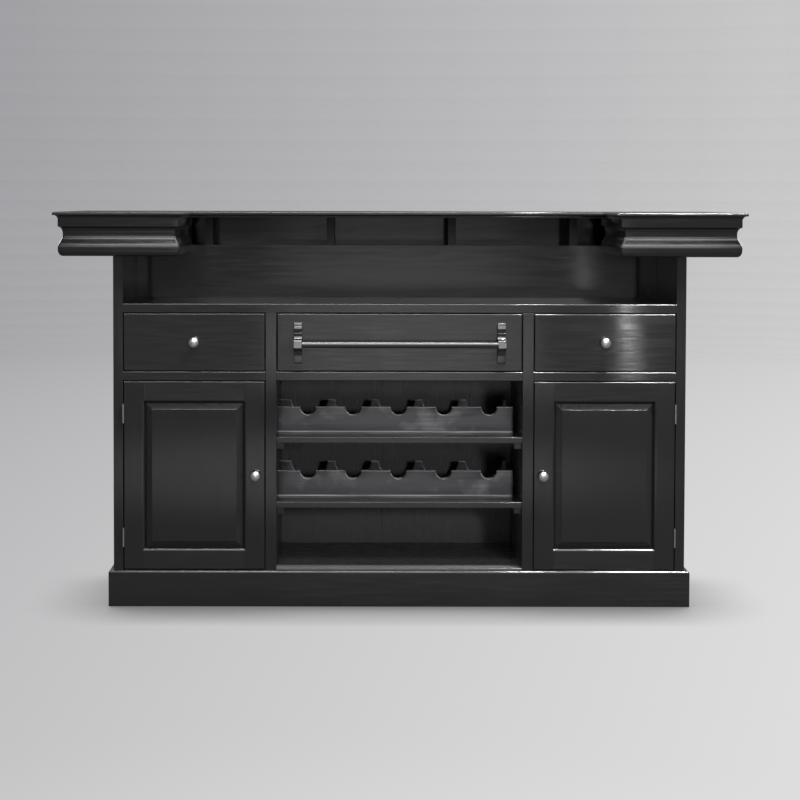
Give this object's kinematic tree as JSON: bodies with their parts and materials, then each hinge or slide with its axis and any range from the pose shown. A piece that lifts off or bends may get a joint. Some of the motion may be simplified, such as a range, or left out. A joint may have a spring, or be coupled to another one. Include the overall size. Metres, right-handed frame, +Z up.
{
  "type": "bar counter",
  "caption": "Black lacquered home bar counter from the bartender's side: winged top with cornice, work shelf, inset drawers with knobs and a rail handle, panelled doors and a wine rack.",
  "frame": {"origin": "middle of the overall box, on the floor", "axes": "+X to the right as the bartender sees it, +Y towards the customer, +Z up"},
  "size_m": [1.886, 0.607, 1.08],
  "materials": {
    "black_lacquer": "satin black lacquer over hardwood, with a faint grain",
    "handle_lacquer": "gloss black lacquer over turned and sawn hardwood",
    "drawer_wood": "bare pale hardwood, waxed",
    "pewter": "satin pewter, polished on the crown",
    "hardware_steel": "plain rolled steel",
    "catch_plastic": "moulded black plastic"
  },
  "bodies": {
    "carcase": {"plinth_boards": "black_lacquer", "side_panels": "black_lacquer", "partitions": "black_lacquer", "bottom_board": "black_lacquer", "work_shelf": "black_lacquer", "drawer_shelves": "black_lacquer", "work_space_back": "black_lacquer", "lining_planks": "black_lacquer", "frame_stiles": "black_lacquer", "frame_mullions": "black_lacquer", "frame_top_rail": "black_lacquer", "frame_mid_rails": "black_lacquer", "frame_bottom_rails": "black_lacquer", "bar_top_centre": "black_lacquer", "bar_top_wings": "black_lacquer", "top_ribs": "black_lacquer", "front_cornice": "black_lacquer", "end_cornices": "black_lacquer", "wing_cornices": "black_lacquer", "soffit_boards": "black_lacquer", "customer_frame": "black_lacquer", "customer_panels": "black_lacquer", "rack_shelves": "black_lacquer", "rack_cleats": "black_lacquer", "neck_racks": "black_lacquer", "body_racks": "black_lacquer", "drawer_guides": "black_lacquer", "drawer_kickers": "black_lacquer", "hinge_frame_leaves": "hardware_steel", "hinge_pins": "hardware_steel", "hinge_frame_screws": "hardware_steel", "door_catches": "catch_plastic"},
    "left_drawer": {"left_drawer_front": "black_lacquer", "left_drawer_box": "drawer_wood", "left_drawer_bottom": "drawer_wood", "left_drawer_knob": "pewter", "left_drawer_knob_screw": "hardware_steel"},
    "right_drawer": {"right_drawer_front": "black_lacquer", "right_drawer_box": "drawer_wood", "right_drawer_bottom": "drawer_wood", "right_drawer_knob": "pewter", "right_drawer_knob_screw": "hardware_steel"},
    "centre_drawer": {"centre_drawer_front": "black_lacquer", "centre_drawer_box": "drawer_wood", "centre_drawer_bottom": "drawer_wood", "handle_rail": "handle_lacquer", "handle_brackets": "handle_lacquer", "handle_screws": "hardware_steel"},
    "left_door": {"left_door_frame": "black_lacquer", "left_door_panel": "black_lacquer", "left_door_knob": "pewter", "left_door_hinge_leaves": "hardware_steel", "left_door_screws": "hardware_steel", "left_door_strike": "hardware_steel"},
    "right_door": {"right_door_frame": "black_lacquer", "right_door_panel": "black_lacquer", "right_door_knob": "pewter", "right_door_hinge_leaves": "hardware_steel", "right_door_screws": "hardware_steel", "right_door_strike": "hardware_steel"}
  },
  "joints": [
    {"name": "left_door_hinge", "type": "hinge", "parent": "carcase", "child": "left_door", "pos_m": [-0.756, -0.258, 0.3585], "axis": [0, 0, -1], "range_deg": [0, 170]},
    {"name": "right_door_hinge", "type": "hinge", "parent": "carcase", "child": "right_door", "pos_m": [0.756, -0.258, 0.3585], "axis": [0, 0, 1], "range_deg": [0, 170]},
    {"name": "left_drawer_slide", "type": "slide", "parent": "carcase", "child": "left_drawer", "axis": [0, -1, 0], "range_m": [0, 0.28]},
    {"name": "centre_drawer_slide", "type": "slide", "parent": "carcase", "child": "centre_drawer", "axis": [0, -1, 0], "range_m": [0, 0.28]},
    {"name": "right_drawer_slide", "type": "slide", "parent": "carcase", "child": "right_drawer", "axis": [0, -1, 0], "range_m": [0, 0.28]}
  ]
}
